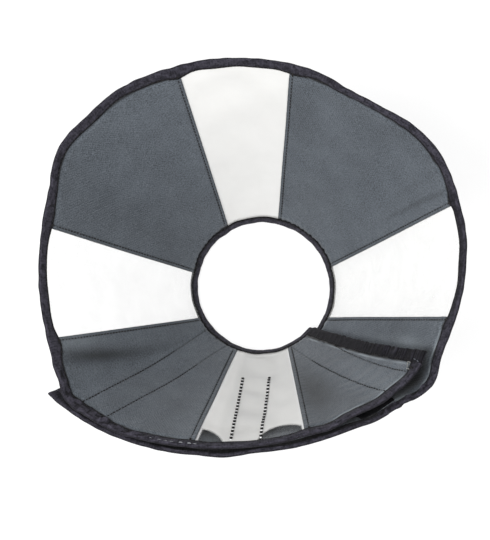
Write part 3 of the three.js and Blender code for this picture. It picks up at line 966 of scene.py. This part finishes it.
# A folded tape. shareOf gives turns and shares from a length past the folded edge, and along is
# the length to each of the turns. dark is the strength of painted shade laid on it up to darkTo.
def addTape(name, turns, shareOf, along, width, space, seed, crease,
            dark=0.0, stands=None, gathers=None, darkTo=-0.0045):
    if stands is None:
        stands = tapeLook["stands"] + 0 * turns
    lengths, levels = tapeSection(width, space, stands)
    along = along[:, None, None] + 0 * lengths
    around = np.linspace(-1, 1, lengths.shape[1])[None, :, None] * tapeLook["legWidth"]
    height = tapeLook["crease"] * np.reshape(crease, (-1, 1, 1))
    rough = height * softNoise(seed, along, 2 * around, tapeLook["creaseLength"])
    rough = rough + 0.4 * height * softNoise(seed + 1, along, 0.2 * around, 0.004)
    # the creases lie on the front leg, and only faintly on the fold and the back
    rough = rough * (0.2 + 0.8 * smooth(-around, 0.001, 0.006))
    if gathers is not None:
        rough = rough + gathers(along)
    rough = rough * (1 - 0.8 * hill(around + tapeLook["legWidth"], 0.002))
    valley = smooth(-rough, 0.00025, 0.00080)
    ridge = smooth(rough, 0.00025, 0.00080)
    swell = np.maximum(rough, tapeLook["drawnIn"]) * np.array([1.0, 0.0])
    levels = levels + np.sign(levels) * np.minimum(np.abs(levels) / 0.001, 1) * swell
    edge = tapeLook["edgeWave"] * softNoise(seed + 2, along, 0 * along, tapeLook["edgeWaveLength"])
    wobble = tapeLook["foldWave"] * softNoise(seed + 3, along, 0 * along, tapeLook["foldWaveLength"])
    lengths = lengths + np.where(lengths > 0, wobble, edge)
    turn, share = shareOf(turns[:, None, None], lengths)
    # painted shade on the tape: a dark outline at each leg's edge, darker crease valleys and lighter
    # ridges, a dark outer side of the fold, and the shade given by dark
    edgeLine = tapeLook["legWidth"] - tapeLook["outline"]
    dark = np.reshape(dark, (-1, 1, 1)) * (around < darkTo)
    dark = np.maximum(0.75 * valley, dark + 0.2 * valley - 0.5 * ridge * dark)
    paintedTapeShade = np.maximum(hill(np.maximum(edgeLine - np.abs(around), 0), 0.0012), dark)
    paintedTapeShade = np.maximum(paintedTapeShade, 0.75 * hill(around - 0.0014, 0.0018)) + 0 * lengths
    laid = np.stack([along, around + 0 * along, levels], axis=-1)
    filled = np.ones(tuple(n - 1 for n in lengths.shape), bool)
    corners = wallPoint(turn, share, levels)
    corners[..., 2] = np.maximum(corners[..., 2], 0.0)
    points, faces, fields = cellBody(filled, corners, {"laid": laid, "paintedShade": paintedTapeShade})
    piece = addPiece(name + "_tape", points, faces, tape, fields)
    place(piece, "tape", [name + "_binding"])


def lengthAlong(turns, share):
    points = middlePoint(turns, share + 0 * turns)
    steps = np.linalg.norm(np.diff(points, axis=0), axis=1)
    return np.concatenate([[0], np.cumsum(steps)])


# Half the thickness of the cloth or film between the legs
def tapeSpace(turns):
    inWindow = windowShare(turns)
    return (panelLook["pinched"] + 0.0001) * (1 - inWindow) + (
        wall["filmThickness"] / 2 + wall["clearance"]) * inWindow


# Closes the two legs on each other at an end of the tape
def closing(along):
    return 0.10 + 0.90 * np.sqrt(smooth(along, -0.0006, 0.0022))


# Painted shade on the tape's front leg: shadow where the wall runs behind the inner layer, and a
# darker stretch along the right window
rimShade = namedTable(("rimTurn", "shade"), [
    (22, 0), (338, 0), (346, 0.5), (374, 0.5), (380, 0.1), (417, 0.1), (426, 0.85),
    (500, 0.85), (505, 0.3), (513, 0.3),
])


def addRimTape():
    start = firstTurn + degreesAtRim(rimTape["endWidth"] / 0.92)
    end = lastTurn + degreesAtRim(0.0011)
    turns = spread(start, end, step=degreesAtRim(tapeLook["step"]))
    along = lengthAlong(turns, 1.0)
    space = tapeSpace(turns) * closing(along[-1] - along)
    creased = 0.40 + 3.0 * smooth(turns, 116, 124) * (1 - smooth(turns, 146, 152))
    creased = creased + 3.2 * smooth(turns, 392, 398) * (1 - smooth(turns, 408, 414))
    addTape("rim", turns,
            lambda turn, length: (turn, 1 + shareFor(length, turn)),
            along, tapeLeg(turns), space, 81, creased,
            valueAt(rimShade, "shade", turns), valueAt(tapeLegs, "stands", turns))


def addNeckTape():
    turns = spread(firstTurn - 1, lastTurn + 1,
                   step=math.degrees(tapeLook["step"] / wall["neckRadius"]))
    along = lengthAlong(turns, 0.0)
    space = tapeSpace(turns) * closing(np.minimum(along, along[-1] - along))
    addTape("neck", turns,
            lambda turn, length: (turn, -shareFor(length, turn)),
            along, rimTape["width"] + 0 * turns, space, 91, 0.5)


# Tape round one end of the fan. overRim carries it over the rim, where it closes.
def addEndTape(name, endTurn, into, overRim, seed, dark, gathers=None):
    low = float(shareFor(rimTape["width"] + wall["clearance"], endTurn))
    high = 1 + float(shareFor(0.0016, endTurn)) if overRim else 1 - low
    shares = spread(low, high, step=0.0013 / wall["length"])
    along = shares * wall["length"]
    closed = closing(along[-1] - along) if overRim else 1 + 0 * shares
    row = shares[:, None, None]

    def shareOf(_, length):
        degree = degreeLength(endTurn + 0 * row, np.minimum(row, 1))
        return endTurn - into * length / degree, row + 0 * length

    addTape(name, shares, shareOf, along,
            rimTape["endWidth"] + 0 * shares, (panelLook["pinched"] + 0.0002) * closed,
            seed, 0.6, dark, None, gathers, darkTo=0.003)


# Cross gathers where the tape was bunched in sewing, strongest near the rim
def endGathers(along):
    phase = 2 * np.pi * along / 0.0064 + 2.6 * softNoise(101, along, 0 * along, 0.02)
    fine = 0.00030 * softNoise(103, along, 0 * along, 0.0034)
    return (0.00065 * np.sin(phase) + fine) * smooth(along, 0.10, 0.20)


for name in windows:
    addWindow(name)
print("windows made")
addRimTape()
addNeckTape()
# the inner end's tape is painted in shade over most of its width
addEndTape("inner_end", firstTurn, 1, True, 111, 0.80, endGathers)
addEndTape("outer_end", lastTurn, -1, False, 121, 0.0)
print("bindings made")

# Faces of many small tubes, whose rings of points follow each other from number base on
def tubeFaces(count, rings, sides, base=0):
    ringNumber, corner = np.divmod(np.arange((rings - 1) * sides), sides)
    a = ringNumber * sides + corner
    b = ringNumber * sides + (corner + 1) % sides
    quads = np.stack([a, b, b + sides, a + sides], axis=1)
    starts = base + np.arange(count)[:, None, None] * (rings * sides)
    return (starts + quads).reshape(-1, 4)


# Fastening strips: a woven ground with a pile of loops or hooks
pile = {"height": 0.0006, "radius": 0.00016, "sides": 3, "gap": 0.0014}


def addStrip(name, size, fromLevel, toLevel, pileSide):
    strip = stripLines[name]
    width = size["width"]
    length = size["length"]
    top = 1 - float(shareFor(rimTape["width"] + 2 * wall["clearance"], strip["rimTurn"]))
    bottom = top - float(shareFor(length, strip["rimTurn"]))
    shares = spread(bottom, top, step=0.002 / wall["length"])
    across = np.linspace(-0.5, 0.5, 17)
    side, share = np.meshgrid(across, shares, indexing="ij")
    middle = strip["rimTurn"] + strip["skew"] * (1 - share)
    turn = middle + side * width / degreeLength(middle, share)
    points, faces, _ = block(turn[..., None], share[..., None], np.array([fromLevel, toLevel]))
    pick = np.random.default_rng(len(name) + int(strip["rimTurn"]))
    count = int(width * length / pile["gap"] ** 2)
    across = pick.uniform(-0.49, 0.49, count)
    share = pick.uniform(bottom + 0.002, top - 0.002, count)
    middle = strip["rimTurn"] + strip["skew"] * (1 - share)
    degree = degreeLength(middle, share)
    level = toLevel if pileSide > 0 else fromLevel
    lean = pick.normal(0, 0.0004, (2, count))
    # each tuft has three rings of points: one sunk in the ground, a wide one and its tip
    tufts = []
    for rise, fat in ((0.0, 1.0), (0.6, 1.1), (1.0, 0.35)):
        for corner in range(pile["sides"]):
            angle = 2 * math.pi * corner / pile["sides"]
            sideways = across * width + lean[0] * rise + pile["radius"] * fat * math.cos(angle)
            upwards = lean[1] * rise + pile["radius"] * fat * math.sin(angle)
            height = level + pileSide * (pile["height"] * rise - 0.0002 * (rise == 0))
            tufts.append(wallPoint(middle + sideways / degree,
                                   share + upwards / wall["length"], height))
    tufts = np.stack(tufts, axis=1).reshape(-1, 3)
    faces = np.concatenate([faces, tubeFaces(count, 3, pile["sides"], len(points))])
    piece = addPiece(name + "_pile", np.concatenate([points, tufts]), faces, blackStrip)
    place(piece, "strip", [name])


for name, strip in stripLines.items():
    onFilm = strip["panel"] in windows
    back = (wall["filmThickness"] if onFilm else wall["panelThickness"]) / 2
    if name == "hook_strip":
        ground = wall["clearance"] + wall["hookThickness"] - pile["height"]
        addStrip(name, hookStrip, -back - ground, -back, -1)
    else:
        ground = wall["clearance"] + wall["loopThickness"] - pile["height"]
        addStrip(name, loopStrip, back, back + ground, 1)
print("strips made")

# Stitches: short arched lengths of thread, tapering where they go into the cloth
thread = {"radius": 0.00044, "lift": 0.00034, "sink": 0.00022, "rings": 5, "sides": 5}


# Points and faces of the stitches along one line. side is -1 on the front, 1 on the back.
def stitchRun(turns, shares, level, side, period=0.0042, dash=0.66, fat=1.0, flat=1.0):
    turns, shares = np.broadcast_arrays(np.asarray(turns, float), np.asarray(shares, float))
    line = wallPoint(turns, shares, level + 0 * turns)
    along = np.concatenate([[0], np.cumsum(np.linalg.norm(np.diff(line, axis=0), axis=1))])
    count = int(along[-1] / period)
    rings = thread["rings"]
    sides = thread["sides"]
    t = np.linspace(0, 1, rings)
    where = (np.arange(count)[:, None] + 0.5 + dash * (t - 0.5)) * period
    turn = np.interp(where, along, turns)
    share = np.interp(where, along, shares)
    height = thread["lift"] * fat * np.sin(np.pi * t) - thread["sink"]
    levelHere = np.interp(where, along, level + 0 * turns)
    centre = wallPoint(turn, share, levelHere + side * height)
    normal = wallNormal(turn, share)
    forward = np.gradient(centre, axis=1)
    forward /= np.linalg.norm(forward, axis=-1, keepdims=True)
    across = np.cross(forward, normal)
    across /= np.linalg.norm(across, axis=-1, keepdims=True)
    up = np.cross(across, forward)
    fatness = thread["radius"] * fat * np.sqrt(np.clip(1 - (1.7 * (t - 0.5)) ** 2, 0.06, 1))
    angle = 2 * np.pi * np.arange(sides) / sides
    points = (centre[:, :, None]
              + fatness[None, :, None, None] * (np.cos(angle)[:, None] * across[:, :, None]
                                                + flat * np.sin(angle)[:, None] * up[:, :, None]))
    return points.reshape(-1, 3), tubeFaces(count, rings, sides)


# One piece from the points and faces of several runs
def addStitches(name, runs, material):
    bases = np.cumsum([0] + [len(points) for points, _ in runs])
    points = np.concatenate([run[0] for run in runs])
    faces = np.concatenate([run[1] + base for run, base in zip(runs, bases)])
    place(addPiece(name, points, faces, material), "tape")


def seamStitches():
    share = np.linspace(0.05, 0.968, 120)
    onStrip = share[share > 1 - 0.162 / wall["length"]]
    full = wall["panelThickness"] / 2 - panelLook["groove"] * 0.6
    runs = []
    for panel in panels:
        for line in linesOn(panel):
            isHem = min(abs(line(share)[-1] - seamTurns[s][0]) for s in panels[panel]) < 3
            if panel == "outer_flap_panel" and not isHem:
                continue
            inside = share if isHem else onStrip
            turns = line(inside)
            runs.append(stitchRun(turns, inside, -full, -1, fat=1.2))
            if isHem:
                runs.append(stitchRun(turns, inside, full, 1, fat=1.2))
                runs.append(stitchRun(turns[-3:], inside[-3:], -full, -1, period=0.0032, dash=0.9,
                                      fat=2.2))
    addStitches("seam_stitching", runs, darkThread)


# Thick looped stitches where a strip is sewn through the film, with short white pieces of thread
# between them as painted glints
def windowStitches():
    runs = []
    glints = []
    share = np.linspace(1 - 0.160 / wall["length"], 0.962, 80)
    for side in (-1, 1):
        turns = stripLine("loop_strip_2", side, share)
        level = filmSway("bottom_window", turns, share) - filmLook["thickness"] / 2
        runs.append(stitchRun(turns, share, level, -1, period=0.0073, dash=0.72, fat=3.3,
                              flat=0.28))
        between = share + 0.00365 / wall["length"]
        glints.append(stitchRun(stripLine("loop_strip_2", side, between), between, level, -1,
                                period=0.0073, dash=0.24, fat=2.2, flat=0.25))
    addStitches("window_strip_stitching", runs, darkThread)
    addStitches("window_strip_glints", glints, glintThread)


def tapeStitches():
    runs = []
    for atRim in (False, True):
        start = firstTurn + (degreesAtRim(0.011) if atRim else 0.6)
        turns = np.linspace(start, lastTurn - 0.6, 1400)
        leg = tapeLeg(turns) if atRim else rimTape["width"]
        inset = shareFor(leg - rimTape["stitch"], turns)
        share = 1 - inset if atRim else inset
        level = (tapeSpace(turns) + tapeLook["thickness"]) * 0.83
        for side in (-1, 1):
            runs.append(stitchRun(turns, share, side * level, side, fat=0.8))
    share = np.linspace(0.055, 0.945, 150)
    for endTurn, into in ((firstTurn, 1), (lastTurn, -1)):
        width = rimTape["endWidth"] - rimTape["stitch"]
        turn = endTurn + into * width / degreeLength(endTurn + 0 * share, share)
        level = (panelLook["pinched"] + 0.0002 + tapeLook["thickness"]) * 0.83
        for side in (-1, 1):
            runs.append(stitchRun(turn, share, side * level, side, fat=0.8))
    addStitches("binding_stitching", runs, darkThread)


# A few pale stitches left in the middle of the front tape near the bottom
def basting():
    runs = []
    spots = ((119.1, 0.38), (116.6, 0.40), (114.9, 0.38), (113.2, 0.42), (110.6, 0.90),
             (108.2, 0.95), (106.6, 0.45))
    for turn, fat in spots:
        level = panelLook["pinched"] + 0.0001 + tapeLook["thickness"]
        turns = np.linspace(turn - 0.62, turn + 0.62, 12)
        share = 1 - shareFor(0.0006, turns)
        runs.append(stitchRun(turns, share, -level - 0.0002, -1, period=0.0030, dash=0.95, fat=fat))
    addStitches("basting_stitches", runs, paleThread)


# Cut thread ends, a small frayed tuck where the rim tape starts at the flap's corner, and a
# thick dark thread laid as painted shade in the hollow of the tuck. Each is a line from one turn
# and share to another.
def looseEnds():
    level = -panelLook["pinched"] - tapeLook["thickness"]
    pieces = {
        "frayed_tuck": (frayedThread, -0.0004, 0.0026, 0.90, 0.9, [
            (33.8, 0.932, 36.1, 0.950),
            (33.7, 0.928, 33.8, 0.958),
            (36.1, 0.945, 36.0, 0.968),
        ]),
        "tuck_painted_shadow": (darkThread, -0.0006, 0.0078, 0.98, 2.0, [(35.0, 0.957, 35.6, 0.992)]),
        "thread_ends": (greyThread, -0.0014, 0.0036, 0.90, 0.75, [
            (32.5, 0.968, 32.9, 0.990),
            (32.9, 0.994, 33.2, 1.010),
            (34.8, 0.985, 34.9, 1.000),
        ]),
    }
    for name, (material, lift, period, dash, fat, lines) in pieces.items():
        runs = []
        for turnA, shareA, turnB, shareB in lines:
            runs.append(stitchRun(np.linspace(turnA, turnB, 12), np.linspace(shareA, shareB, 12),
                                  level + lift, -1, period=period, dash=dash, fat=fat))
        addStitches(name, runs, material)


looseEnds()
seamStitches()
windowStitches()
tapeStitches()
basting()
print("stitches made")

# The white top of a light table and soft studio light
stageLook = {"size": 8.0, "glow": 0.68, "world": 0.85}


def addStage():
    half = stageLook["size"] / 2
    material, tree, shader = newMaterial("opal acrylic of a light table", {
        "Roughness": 0.9, "Specular IOR Level": 0.1, "Emission Color": (1, 1, 1, 1),
        "Emission Strength": stageLook["glow"]})
    place = addNode(tree, "ShaderNodeTexCoord", {}, "Object")
    mottle = addNode(tree, "ShaderNodeTexNoise", {"Vector": place, "Scale": 12.0, "Detail": 2.0})
    colour = addNode(tree, "ShaderNodeMix", {
        "data_type": "RGBA", 0: mottle, 6: linear("#9c9c9c"), 7: linear("#a4a4a4")}, 2)
    tree.links.new(colour, shader.inputs["Base Color"])
    points = [(-half, -half, -0.0003), (half, -half, -0.0003),
              (half, half, -0.0003), (-half, half, -0.0003)]
    floor = addPiece("floor", points, [(0, 1, 2, 3)], material, sharpAngle=0)
    world = bpy.data.worlds.new("studio")
    world.use_nodes = True
    sky = world.node_tree.nodes["Background"]
    sky.inputs["Color"].default_value = (1, 1, 1, 1)
    sky.inputs["Strength"].default_value = stageLook["world"]
    bpy.context.scene.world = world
    bpy.context.scene.view_settings.view_transform = "Standard"


def addLight(name, position, size, power):
    light = bpy.data.lights.new(name, "AREA")
    light.shape = "DISK"
    light.size = size
    light.energy = power
    aimed(bpy.data.objects.new(name, light), position, (0, 0, 0.1))


addStage()
addLight("key softbox", (-0.85, -0.45, 2.1), 1.1, 30)
addLight("fill softbox", (0.5, -0.9, 2.0), 1.4, 5)
print("stage and light set")
